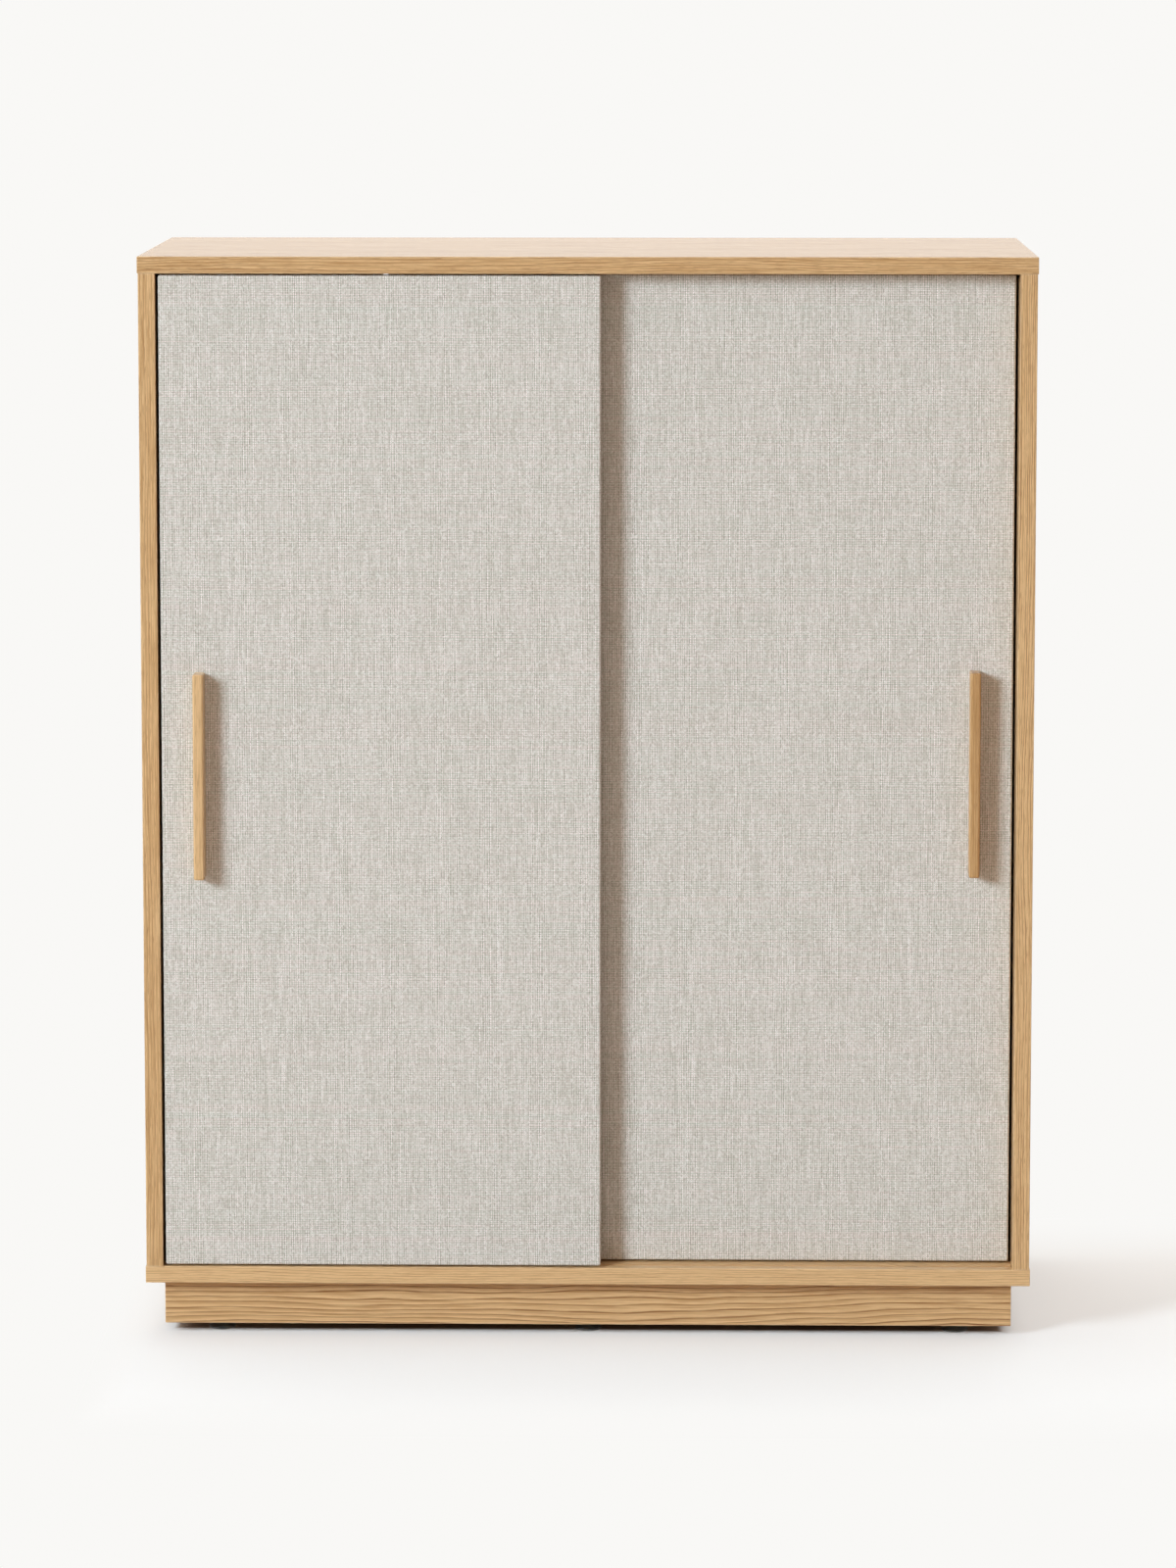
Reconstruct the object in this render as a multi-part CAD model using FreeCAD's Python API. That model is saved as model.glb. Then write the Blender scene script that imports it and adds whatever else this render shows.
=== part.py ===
import FreeCAD, Part
import os
from math import sqrt

from FreeCAD import Placement, Rotation, Vector

# Oak highboard with two fabric-covered sliding doors, standing on a recessed plinth with levelling feet.
# Millimetres. +Z is up, +X to the right, and the doors face -Y. The origin is on the floor, midway across
# the width and midway between the back of the carcass and the front of the handles.

# Carcass boards
carcass_width = 1000.0
carcass_depth = 420.0
carcass_height = 1162.0
board = 19.0
end_overhang = 1.0
edge_round = 0.8

# Back panel, let into a groove all round
back_thickness = 4.0
back_inset = 12.0
back_groove = 8.0
back_groove_play = 0.2
back_head_play = 1.0

# Shelves and their supports
shelves_per_side = 2
shelf_end_play = 1.0
shelf_setback = 12.0
shelf_back_gap = 3.0
support_pitch = 32.0
support_holes_each_way = 2
support_row_inset = 37.0
support_pin_radius = 2.5
support_pin_play = 0.1
support_width = 12.0
support_tongue = 9.0
support_metal = 1.6
support_drop = 11.0
partition_web = 2.0

# Cam fittings and dowels between the boards
fitting_front_inset = 45.0
fitting_back_inset = 60.0
dowel_pitch = 32.0
cam_radius = 7.5
cam_setback = 24.0
cam_past_axis = 4.5
cam_slot_width = 1.6
cam_slot_depth = 2.0
bolt_thread_radius = 2.5
bolt_thread_length = 10.0
bolt_shank_radius = 3.0
bolt_neck_radius = 2.0
bolt_head_radius = 3.4
bolt_head_length = 4.0
bolt_neck_length = 3.0
bolt_bore_radius = 3.8
dowel_radius = 4.0
dowel_in_board = 11.0
dowel_in_end = 23.0
dowel_chamfer = 1.0
bore_play = 0.1
bore_end_play = 1.0

# Doors
door_recess = 2.0
door_thickness = 20.0
door_gap = 10.0
door_back_room = 8.0
door_side_gap = 3.0
door_floor_gap = 2.0
door_head_gap = 2.0
door_overlap = 30.0
fabric = 1.0
fabric_fold = 30.0
core_round = 1.0

# Handles
handle_width = 12.0
handle_depth = 25.0
handle_length = 232.0
handle_inset = 43.0
handle_round = 2.4
handle_screw_spacing = 160.0
handle_screw_grip = 15.0
handle_pass_gap = 8.0

# Rollers, their housings and the bottom tracks
roller_inset = 70.0
roller_radius = 12.0
roller_width = 4.0
roller_round = 0.8
roller_setback = 14.0
roller_side_play = 0.5
roller_floor_play = 0.3
roller_slot_play = 1.0
axle_radius = 1.5
axle_play = 0.05
axle_end_play = 0.3
housing_length = 46.0
housing_height = 30.0
housing_wall = 2.5
housing_round = 4.0
housing_play = 0.2
track_wall = 1.5
track_base = 1.5
track_channel_depth = 5.0
track_fit = 0.1
track_end_play = 1.0
stop_length = 15.0
stop_height = 4.0
stop_play = 0.5
stop_fit = 0.1

# Top guides and their channels
guide_inset = 40.0
guide_width = 30.0
guide_thickness = 3.0
guide_grip = 30.0
guide_reach = 5.5
guide_play = 0.5
guide_head_play = 1.3
guide_round = 4.0
guide_screw_drops = (8.0, 22.0)
guide_channel_wall = 1.2
guide_channel_base = 1.2

# Wall brackets
bracket_spread = 490.0
bracket_width = 30.0
bracket_leg = 40.0
bracket_metal = 2.0
bracket_hole_radius = 3.25
bracket_hole_drop = 25.0
bracket_screw_insets = (14.0, 30.0)
back_pass_radius = 4.0

# Screws
small_screw_radius = 1.75
small_screw_length = 16.0
small_head_radius = 3.5
small_head_height = 2.2
handle_screw_radius = 2.0
handle_head_radius = 4.0
handle_head_height = 2.6
plinth_screw_radius = 2.0
plinth_screw_length = 50.0
plinth_head_radius = 4.0
plinth_head_height = 2.6
drive_slot_width = 0.9
drive_slot_depth = 1.2
screw_play = 0.1
back_screws = 4

# Plinth and foot blocks
plinth_height = 51.0
plinth_front_recess = 20.0
plinth_back_recess = 20.0
plinth_side_recess = 20.0
foot_block_height = 38.0
foot_block_reach = 22.0
plinth_screw_spread = 32.0

# Levelling feet
foot_gap = 13.0
foot_inset = 62.0
foot_setback = 17.0
pad_radius = 15.0
pad_rim = 1.8
pad_height = 6.0
pad_neck_radius = 6.5
pad_round = 0.6
pad_socket = 4.0
spindle_radius = 4.0
spindle_length = 50.0
spindle_chamfer = 0.8
hex_across_flats = 13.0
hex_height = 4.5
thread_play = 0.05
insert_radius = 5.5
insert_length = 18.0
insert_flange_radius = 9.0
insert_flange = 1.5

# Levels and planes worked out from the sizes above
handle_reach = handle_depth - door_recess
y_front = handle_reach - (carcass_depth + handle_reach) / 2
y_back = y_front + carcass_depth
y_back_panel = y_back - back_inset - back_thickness
door_step = door_thickness + door_gap
y_partition = y_front + door_recess + door_step + door_thickness + door_back_room
z_base = foot_gap + plinth_height
z_in = z_base + board
z_top = z_base + carcass_height
z_ceiling = z_top - board
x_end = carcass_width / 2
x_side_out = x_end - end_overhang
x_side_in = x_side_out - board
inner_height = z_ceiling - z_in
core_back_setback = door_thickness - fabric

AXIS_X = Vector(1, 0, 0)
AXIS_Y = Vector(0, 1, 0)
AXIS_Z = Vector(0, 0, 1)


def box(x, y, z):
    """A block between two limits along each axis, given in either order."""
    (x0, x1), (y0, y1), (z0, z1) = sorted(x), sorted(y), sorted(z)
    return Part.makeBox(x1 - x0, y1 - y0, z1 - z0, Vector(x0, y0, z0))


def about(middle, width):
    """The limits of a span of the given width about its middle."""
    return middle - width / 2, middle + width / 2


def rod(radius, start, end):
    """A round bar or bore from one point to another."""
    run = end - start
    return Part.makeCylinder(radius, run.Length, start, run)


def edges_along(shape, axis):
    """The straight edges of a block that run along an axis."""
    return [e for e in shape.Edges if abs(e.tangentAt(e.FirstParameter).dot(axis)) > 0.99]


def rounded(shape, radius, *axes):
    """A block with its edges along the named axes rounded."""
    chosen = [e for axis in axes for e in edges_along(shape, axis)]
    return shape.makeFillet(radius, chosen)


def screw(seat, direction, radius, length, head_radius, head_height):
    """A cross-head screw whose head bears on the seat and whose shank points along the direction."""
    head = Part.makeCylinder(head_radius, head_height, Vector(0, 0, -head_height))
    crown = [e for e in head.Edges if abs(e.BoundBox.ZMax + head_height) < 1e-6]
    head = head.makeFillet(head_height / 3, crown)
    shank = Part.makeCylinder(radius, length)
    slot = (-head_height, drive_slot_depth - head_height)
    half = about(0, 1.3 * head_radius)
    narrow = about(0, drive_slot_width)
    solid = head.fuse(shank).cut([box(half, narrow, slot), box(narrow, half, slot)])
    solid.Placement = Placement(seat, Rotation(AXIS_Z, direction))
    return solid


def small_screw(seat, direction):
    return screw(seat, direction, small_screw_radius, small_screw_length, small_head_radius, small_head_height)


def pilot(seat, direction, radius, length):
    """The clear hole of a screw, from its seat to its point."""
    return rod(radius + screw_play, seat, seat + direction * length)


def save(node, *solids):
    """Writes one node, which holds one solid or a group of like ones."""
    shape = solids[0] if len(solids) == 1 else Part.makeCompound(solids)
    shape.exportStep(os.path.join("parts", node + ".step"))


# Where the upright boards stand: middle, and the side on which their cam locks open
uprights = {
    "left_side_panel": (-x_side_in - board / 2, 1),
    "center_partition": (0.0, -1),
    "right_side_panel": (x_side_in + board / 2, -1),
}
fitting_places = (
    (y_partition + fitting_front_inset, dowel_pitch),
    (y_back_panel - fitting_back_inset, -dowel_pitch),
)


def upright_fittings(x_mid, face):
    """The cam locks, bolts and dowels of one upright, with the bores they need in it and in the top and bottom."""
    made = {"cams": [], "bolts": [], "dowels": [], "own_bores": [], "bottom_bores": [], "top_bores": []}
    x_face = x_mid + face * board / 2
    for z_end, up, across in ((z_in, 1, "bottom_bores"), (z_ceiling, -1, "top_bores")):
        for y_cam, dowel_step in fitting_places:
            joint = Vector(x_mid, y_cam, z_end)
            rise = Vector(0, 0, up)
            cam_mouth = Vector(x_face, y_cam, z_end + up * cam_setback)
            cam_floor = Vector(x_mid - face * cam_past_axis, y_cam, z_end + up * cam_setback)
            head_end = cam_setback + bolt_head_length / 2
            neck_start = head_end - bolt_head_length - bolt_neck_length
            made["own_bores"].append(rod(cam_radius + bore_play, cam_floor, cam_mouth))
            made["own_bores"].append(rod(bolt_bore_radius, joint, joint + rise * cam_setback))
            made[across].append(rod(bolt_thread_radius + bore_play, joint, joint - rise * bolt_thread_length))
            channel = rod(bolt_bore_radius, joint, joint + rise * (head_end + bore_end_play))
            slot = box((x_face, x_face - face * cam_slot_depth), about(y_cam, 1.4 * cam_radius),
                       about(cam_mouth.z, cam_slot_width))
            made["cams"].append(rod(cam_radius, cam_floor, cam_mouth).cut([channel, slot]))
            thread = rod(bolt_thread_radius, joint - rise * bolt_thread_length, joint)
            shank = rod(bolt_shank_radius, joint, joint + rise * neck_start)
            neck = rod(bolt_neck_radius, joint + rise * neck_start, joint + rise * (head_end - bolt_head_length))
            head = rod(bolt_head_radius, joint + rise * (head_end - bolt_head_length), joint + rise * head_end)
            made["bolts"].append(thread.fuse([shank, neck, head]))
            peg = joint + AXIS_Y * dowel_step
            dowel = rod(dowel_radius, peg - rise * dowel_in_board, peg + rise * dowel_in_end)
            rims = [e for e in dowel.Edges if e.Length > 2 * dowel_radius and e.Closed]
            made["dowels"].append(dowel.makeChamfer(dowel_chamfer, rims))
            bore_radius = dowel_radius + bore_play
            made["own_bores"].append(rod(bore_radius, peg, peg + rise * (dowel_in_end + bore_end_play)))
            made[across].append(rod(bore_radius, peg, peg - rise * dowel_in_board))
    return made


fittings = {name: upright_fittings(*place) for name, place in uprights.items()}


def all_fittings(kind):
    return [solid for made in fittings.values() for solid in made[kind]]


# Shelf levels, and the rows of support holes around each of them
shelf_bay = (inner_height - shelves_per_side * board) / (shelves_per_side + 1)
shelf_levels = [z_in + shelf_bay * (i + 1) + board * i for i in range(shelves_per_side)]
support_rows = (y_partition + support_row_inset, y_back_panel - support_row_inset)
support_hole_depth = (board - partition_web) / 2
support_pin_drop = support_drop / 2


def support_holes(x_face, inward):
    """Rows of holes in a board's face, into which the shelf supports plug."""
    holes = []
    for level in shelf_levels:
        for step in range(-support_holes_each_way, support_holes_each_way + 1):
            for y in support_rows:
                mouth = Vector(x_face, y, level - support_pin_drop + step * support_pitch)
                holes.append(rod(support_pin_radius, mouth, mouth + AXIS_X * (inward * support_hole_depth)))
    return holes


def shelf_support(x_face, inward, y, level):
    """An L-shaped support: a pin in the board, a plate on its face and a tongue under the shelf."""
    plate = box((x_face, x_face - inward * support_metal), about(y, support_width), (level - support_drop, level))
    tongue = box((x_face, x_face - inward * support_tongue), about(y, support_width),
                 (level - support_metal, level))
    root = Vector(x_face, y, level - support_pin_drop)
    pin_length = support_hole_depth - support_pin_play
    pin = rod(support_pin_radius - support_pin_play, root, root + AXIS_X * (inward * pin_length))
    return plate.fuse([tongue, pin])


# Tracks and channels: each is let in flush with its board
track_half = roller_width / 2 + roller_side_play + track_wall
track_height = track_channel_depth + track_base
channel_half = guide_thickness / 2 + guide_play + guide_channel_wall
channel_height = guide_reach + guide_head_play + guide_channel_base
door_faces = {"left": y_front + door_recess, "right": y_front + door_recess + door_step}
track_names = {"left": "front", "right": "rear"}


def track_y(side):
    return door_faces[side] + roller_setback


def channel_y(side):
    return door_faces[side] + door_thickness + guide_thickness / 2


def u_section(y_mid, half, wall, z_mouth, height, base, up):
    """A U-shaped strip whose mouth is at z_mouth and whose base lies behind it."""
    x = about(0, 2 * (x_side_in - track_end_play))
    outer = box(x, about(y_mid, 2 * half), (z_mouth, z_mouth - up * height))
    inner = box(x, about(y_mid, 2 * (half - wall)), (z_mouth, z_mouth - up * (height - base)))
    return outer.cut(inner)


def strip_groove(y_mid, half, z_mouth, height, up):
    x = about(0, 2 * x_side_in)
    return box(x, about(y_mid, 2 * (half + track_fit)), (z_mouth, z_mouth - up * height))


# Back panel and the groove that holds it
groove_y = (y_back_panel - back_groove_play, y_back_panel + back_thickness + back_groove_play)
groove_x = about(0, 2 * (x_side_in + back_groove))
bracket_places = about(0, bracket_spread)
bracket_hole_z = z_ceiling - bracket_hole_drop
back_screw_levels = [z_in + inner_height * (i + 0.5) / back_screws for i in range(back_screws)]
back_screw_seats = [Vector(0, y_back_panel + back_thickness, z) for z in back_screw_levels]
bracket_screw_seats = [
    Vector(x, y_back_panel - inset, z_ceiling - bracket_metal)
    for x in bracket_places
    for inset in bracket_screw_insets
]


def back_panel():
    sheet = box(about(0, 2 * (x_side_in + back_groove - back_head_play)),
                (y_back_panel, y_back_panel + back_thickness),
                (z_in - back_groove, z_ceiling + back_groove - back_head_play))
    passes = [rod(back_pass_radius, Vector(x, y_back_panel, bracket_hole_z),
                  Vector(x, y_back_panel + back_thickness, bracket_hole_z)) for x in bracket_places]
    screws = [pilot(seat, -AXIS_Y, small_screw_radius, back_thickness) for seat in back_screw_seats]
    return sheet.cut(passes + screws)


def wall_bracket(x):
    """A steel angle under the top board, with a hole through which the wall screw passes."""
    upper = box(about(x, bracket_width), (y_back_panel - bracket_leg, y_back_panel),
                (z_ceiling - bracket_metal, z_ceiling))
    hanging = box(about(x, bracket_width), (y_back_panel - bracket_metal, y_back_panel),
                  (z_ceiling - bracket_leg, z_ceiling))
    wall_hole = rod(bracket_hole_radius, Vector(x, y_back_panel - bracket_metal, bracket_hole_z),
                    Vector(x, y_back_panel, bracket_hole_z))
    holes = [pilot(seat, AXIS_Z, small_screw_radius, bracket_metal) for seat in bracket_screw_seats]
    return upper.fuse(hanging).removeSplitter().cut([wall_hole] + holes)


# Plinth frame: rails butted between the front and back ones, with a block over each foot
y_plinth_front = y_front + plinth_front_recess
y_plinth_back = y_back - plinth_back_recess
x_plinth = x_end - plinth_side_recess
plinth_inside = (y_plinth_front + board, y_plinth_back - board)
plinth_z = (foot_gap, z_base)
foot_columns = {"left": -x_plinth + foot_inset, "middle": 0.0, "right": x_plinth - foot_inset}
foot_rows = {"front": plinth_inside[0] + foot_setback, "back": plinth_inside[1] - foot_setback}
feet = {f"{row}_{column}": Vector(x, y, 0) for row, y in foot_rows.items() for column, x in foot_columns.items()}
z_block = z_base - foot_block_height


def foot_block_span(row, column):
    """A block reaches past its foot, and at its outer sides it meets the rails."""
    spot = feet[f"{row}_{column}"]
    x = {"left": (-x_plinth + board, spot.x + foot_block_reach),
         "middle": about(spot.x, 2 * foot_block_reach),
         "right": (spot.x - foot_block_reach, x_plinth - board)}[column]
    y = {"front": (plinth_inside[0], spot.y + foot_block_reach),
         "back": (spot.y - foot_block_reach, plinth_inside[1])}[row]
    return x, y


def plinth_screw_seats(spot):
    return [Vector(x, spot.y, z_block) for x in about(spot.x, plinth_screw_spread)]


def foot_block(row, column):
    x, y = foot_block_span(row, column)
    spot = feet[f"{row}_{column}"]
    bore = rod(insert_radius + bore_play, spot + AXIS_Z * z_block, spot + AXIS_Z * z_base)
    holes = [pilot(seat, AXIS_Z, plinth_screw_radius, foot_block_height) for seat in plinth_screw_seats(spot)]
    return box(x, y, (z_block, z_base)).cut([bore] + holes)


def insert_nut(spot):
    """A flanged threaded sleeve in the block, bored to the thread's outside."""
    seat = spot + AXIS_Z * z_block
    sleeve = rod(insert_radius, seat, seat + AXIS_Z * insert_length)
    flange = rod(insert_flange_radius, seat - AXIS_Z * insert_flange, seat)
    bore = rod(spindle_radius + thread_play, seat - AXIS_Z * insert_flange, seat + AXIS_Z * insert_length)
    return sleeve.fuse(flange).cut(bore)


def foot_pad(spot):
    """A moulded pad: a flat disc that tapers to a neck with the spindle's socket."""
    disc = rod(pad_radius, spot, spot + AXIS_Z * pad_rim)
    sole = [e for e in disc.Edges if abs(e.BoundBox.ZMax) < 1e-6]
    disc = disc.makeFillet(pad_round, sole)
    neck = Part.makeCone(pad_radius, pad_neck_radius, pad_height - pad_rim, spot + AXIS_Z * pad_rim)
    socket = rod(spindle_radius + thread_play, spot + AXIS_Z * (pad_height - pad_socket),
                 spot + AXIS_Z * pad_height)
    return disc.fuse(neck).removeSplitter().cut(socket)


def foot_spindle(spot):
    """A threaded spindle with a hexagon above the pad, for the spanner."""
    start = spot + AXIS_Z * (pad_height - pad_socket)
    stud = rod(spindle_radius, start, start + AXIS_Z * spindle_length)
    ends = [e for e in stud.Edges if e.Closed and abs(e.BoundBox.ZMax - start.z - spindle_length) < 1e-6]
    stud = stud.makeChamfer(spindle_chamfer, ends)
    corner = Vector(0, hex_across_flats / sqrt(3), pad_height)
    corners = [spot + Rotation(AXIS_Z, 60 * i).multVec(corner) for i in range(7)]
    hexagon = Part.Face(Part.makePolygon(corners)).extrude(AXIS_Z * hex_height)
    return stud.fuse(hexagon)


# Doors: where each one's pieces stand
z_door = (z_in + door_floor_gap, z_ceiling - door_head_gap)
z_core = (z_door[0] + fabric, z_door[1] - fabric)
z_handle = (z_door[0] + z_door[1]) / 2
z_axle = z_in - track_channel_depth + roller_floor_play + roller_radius
x_door_out = x_side_in - door_side_gap
x_handle_near = x_door_out - handle_inset - handle_width / 2
door_travel = x_handle_near - door_overlap / 2 - handle_pass_gap
outward = {"left": -1, "right": 1}


def door_x(side):
    """The limits of a door across the carcass: its outer edge first, then the edge at the middle."""
    return outward[side] * x_door_out, -outward[side] * door_overlap / 2


def inset_places(side, inset):
    """Two places along a door, the same distance in from its outer and its inner edge."""
    outer, inner = door_x(side)
    return {"outer": outer - outward[side] * inset, "inner": inner + outward[side] * inset}


def core_block(side):
    outer, inner = door_x(side)
    face = door_faces[side]
    block = box((outer - outward[side] * fabric, inner + outward[side] * fabric),
                (face + fabric, face + core_back_setback), z_core)
    return rounded(block, core_round, AXIS_X, AXIS_Y, AXIS_Z)


def housing_y(side):
    slot_front = track_y(side) - roller_width / 2 - roller_side_play
    return slot_front - housing_wall, door_faces[side] + core_back_setback


def roller_pockets(side):
    """The pockets for the roller housings, open at the back and below, through core and fabric alike."""
    y0 = housing_y(side)[0]
    width = housing_length + 2 * housing_play
    z = (z_door[0], z_core[0] + housing_height + housing_play)
    return [box(about(x, width), (y0, door_faces[side] + door_thickness), z)
            for x in inset_places(side, roller_inset).values()]


def handle_screw_seats(side):
    x = outward[side] * (x_door_out - handle_inset)
    y = door_faces[side] + core_back_setback
    return [Vector(x, y, z) for z in about(z_handle, handle_screw_spacing)]


handle_screw_length = core_back_setback + handle_screw_grip


def handle_screw_bores(side):
    end = handle_screw_length + bore_end_play
    return [pilot(seat, -AXIS_Y, handle_screw_radius, end) for seat in handle_screw_seats(side)]


def guide_screw_seats(side):
    y = door_faces[side] + door_thickness + guide_thickness
    return [Vector(x, y, z_door[1] - drop)
            for x in inset_places(side, guide_inset).values()
            for drop in guide_screw_drops]


def guide_screw_bores(side):
    return [pilot(seat, -AXIS_Y, small_screw_radius, small_screw_length) for seat in guide_screw_seats(side)]


def door_cuts(side):
    return roller_pockets(side) + handle_screw_bores(side) + guide_screw_bores(side)


def door_fabric(side):
    """Cloth drawn round the core and folded onto its back as a border."""
    outer, inner = door_x(side)
    face = door_faces[side]
    wrap = box((outer, inner), (face, face + door_thickness), z_door)
    wrap = rounded(wrap, core_round + fabric, AXIS_X, AXIS_Y, AXIS_Z)
    window = box((outer - outward[side] * fabric_fold, inner + outward[side] * fabric_fold),
                 (face + core_back_setback - fabric, face + door_thickness + fabric),
                 (z_door[0] + fabric_fold, z_door[1] - fabric_fold))
    return wrap.cut([core_block(side), window] + door_cuts(side))


def door_handle(side):
    x = outward[side] * (x_door_out - handle_inset)
    face = door_faces[side]
    bar = box(about(x, handle_width), (face - handle_depth, face), about(z_handle, handle_length))
    bar = bar.makeFillet(handle_round, [e for e in bar.Edges if e.BoundBox.YMin < face - handle_round])
    return bar.cut(handle_screw_bores(side))


def roller_housing(side, x):
    y = housing_y(side)
    block = box(about(x, housing_length), y, (z_core[0], z_core[0] + housing_height))
    shoulders = [e for e in edges_along(block, AXIS_Y) if e.BoundBox.ZMax > z_core[0] + housing_height / 2]
    block = block.makeFillet(housing_round, shoulders)
    slot = box(about(x, 2 * (roller_radius + roller_slot_play)),
               about(track_y(side), roller_width + 2 * roller_side_play),
               (z_core[0], z_axle + roller_radius + roller_slot_play))
    bore = rod(axle_radius + axle_play, Vector(x, y[0], z_axle), Vector(x, y[1], z_axle))
    return block.cut([slot, bore])


def roller(side, x):
    """A moulded wheel with its stub axles."""
    y = housing_y(side)
    wheel_y = about(track_y(side), roller_width)
    wheel = rod(roller_radius, Vector(x, wheel_y[0], z_axle), Vector(x, wheel_y[1], z_axle))
    rims = [e for e in wheel.Edges if e.Closed and e.Length > roller_radius]
    wheel = wheel.makeFillet(roller_round, rims)
    axle = rod(axle_radius, Vector(x, y[0] + axle_end_play, z_axle), Vector(x, y[1] - axle_end_play, z_axle))
    return wheel.fuse(axle)


def top_guide(side, x):
    """A flat guide on the door's back, whose upper end runs in the top channel."""
    back = door_faces[side] + door_thickness
    plate = box(about(x, guide_width), (back, back + guide_thickness),
                (z_door[1] - guide_grip, z_ceiling + guide_reach))
    plate = rounded(plate, guide_round, AXIS_Y)
    return plate.cut(guide_screw_bores(side))


def track_stops(side):
    """Rubber stops in a bottom track, one for the shut door and one for the open door."""
    rise = stop_height - roller_floor_play
    half_chord = sqrt(roller_radius ** 2 - (roller_radius - rise) ** 2)
    out = outward[side]
    places = inset_places(side, roller_inset)
    shut = places["outer"] + out * (half_chord + stop_play)
    opened = places["inner"] - out * (door_travel + half_chord + stop_play)
    y = about(track_y(side), roller_width + 2 * (roller_side_play - stop_fit))
    z_floor = z_in - track_channel_depth
    z = (z_floor, z_floor + stop_height)
    return [box((shut, shut + out * stop_length), y, z), box((opened, opened - out * stop_length), y, z)]


def lying_board(z):
    """The top or bottom board, full width and depth, with its edges eased."""
    blank = box(about(0, carcass_width), (y_front, y_back), z)
    return rounded(blank, edge_round, AXIS_X, AXIS_Y, AXIS_Z)


def bottom_panel():
    grooves = [strip_groove(track_y(side), track_half, z_in, track_height, 1) for side in door_faces]
    grooves.append(box(groove_x, groove_y, (z_in - back_groove, z_in)))
    into = plinth_screw_length
    holes = [pilot(seat, AXIS_Z, plinth_screw_radius, into) for spot in feet.values()
             for seat in plinth_screw_seats(spot)]
    return lying_board((z_base, z_in)).cut(grooves + holes + all_fittings("bottom_bores"))


def top_panel():
    grooves = [strip_groove(channel_y(side), channel_half, z_ceiling, channel_height, -1) for side in door_faces]
    grooves.append(box(groove_x, groove_y, (z_ceiling, z_ceiling + back_groove)))
    holes = [pilot(seat, AXIS_Z, small_screw_radius, small_screw_length) for seat in bracket_screw_seats]
    return lying_board((z_ceiling, z_top)).cut(grooves + holes + all_fittings("top_bores"))


def side_panel(name):
    x_mid, face = uprights[name]
    blank = rounded(box(about(x_mid, board), (y_front, y_back), (z_in, z_ceiling)), edge_round, AXIS_Z)
    x_face = x_mid + face * board / 2
    groove = box((x_face, x_face - face * back_groove), groove_y, (z_in, z_ceiling))
    return blank.cut([groove] + support_holes(x_face, -face) + fittings[name]["own_bores"])


def center_partition():
    blank = box(about(0, board), (y_partition, y_back_panel), (z_in, z_ceiling))
    front = [e for e in edges_along(blank, AXIS_Z) if e.BoundBox.YMax < (y_partition + y_back_panel) / 2]
    blank = blank.makeFillet(edge_round, front)
    holes = support_holes(-board / 2, 1) + support_holes(board / 2, -1)
    screws = [pilot(seat, -AXIS_Y, small_screw_radius, small_screw_length) for seat in back_screw_seats]
    return blank.cut(holes + screws + fittings["center_partition"]["own_bores"])


def shelf(side, level):
    x = (outward[side] * (x_side_in - shelf_end_play), outward[side] * (board / 2 + shelf_end_play))
    blank = box(x, (y_partition + shelf_setback, y_back_panel - shelf_back_gap), (level, level + board))
    return rounded(blank, edge_round, AXIS_X)


os.makedirs("parts", exist_ok=True)

# Carcass
save("top_panel", top_panel())
save("bottom_panel", bottom_panel())
save("left_side_panel", side_panel("left_side_panel"))
save("right_side_panel", side_panel("right_side_panel"))
save("center_partition", center_partition())
save("back_panel", back_panel())
save("cam_locks", *all_fittings("cams"))
save("cam_bolts", *all_fittings("bolts"))
save("dowels", *all_fittings("dowels"))
save("wall_brackets", *[wall_bracket(x) for x in bracket_places])
back_and_bracket = [small_screw(seat, -AXIS_Y) for seat in back_screw_seats]
back_and_bracket += [small_screw(seat, AXIS_Z) for seat in bracket_screw_seats]
save("back_and_bracket_screws", *back_and_bracket)

# Shelves
shelf_names = ("lower", "upper") if shelves_per_side == 2 else [str(i + 1) for i in range(shelves_per_side)]
for side in outward:
    for shelf_name, shelf_level in zip(shelf_names, shelf_levels):
        save(f"{side}_{shelf_name}_shelf", shelf(side, shelf_level))
shelf_faces = ((-x_side_in, -1), (-board / 2, 1), (board / 2, -1), (x_side_in, 1))
save("shelf_supports", *[shelf_support(x_face, inward, y, shelf_level)
                         for x_face, inward in shelf_faces
                         for y in support_rows
                         for shelf_level in shelf_levels])

# Tracks and channels
for side, track_name in track_names.items():
    save(f"{track_name}_bottom_track",
         u_section(track_y(side), track_half, track_wall, z_in, track_height, track_base, 1))
    save(f"{track_name}_top_channel",
         u_section(channel_y(side), channel_half, guide_channel_wall, z_ceiling, channel_height,
                   guide_channel_base, -1))
save("track_stops", *track_stops("left"), *track_stops("right"))

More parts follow.
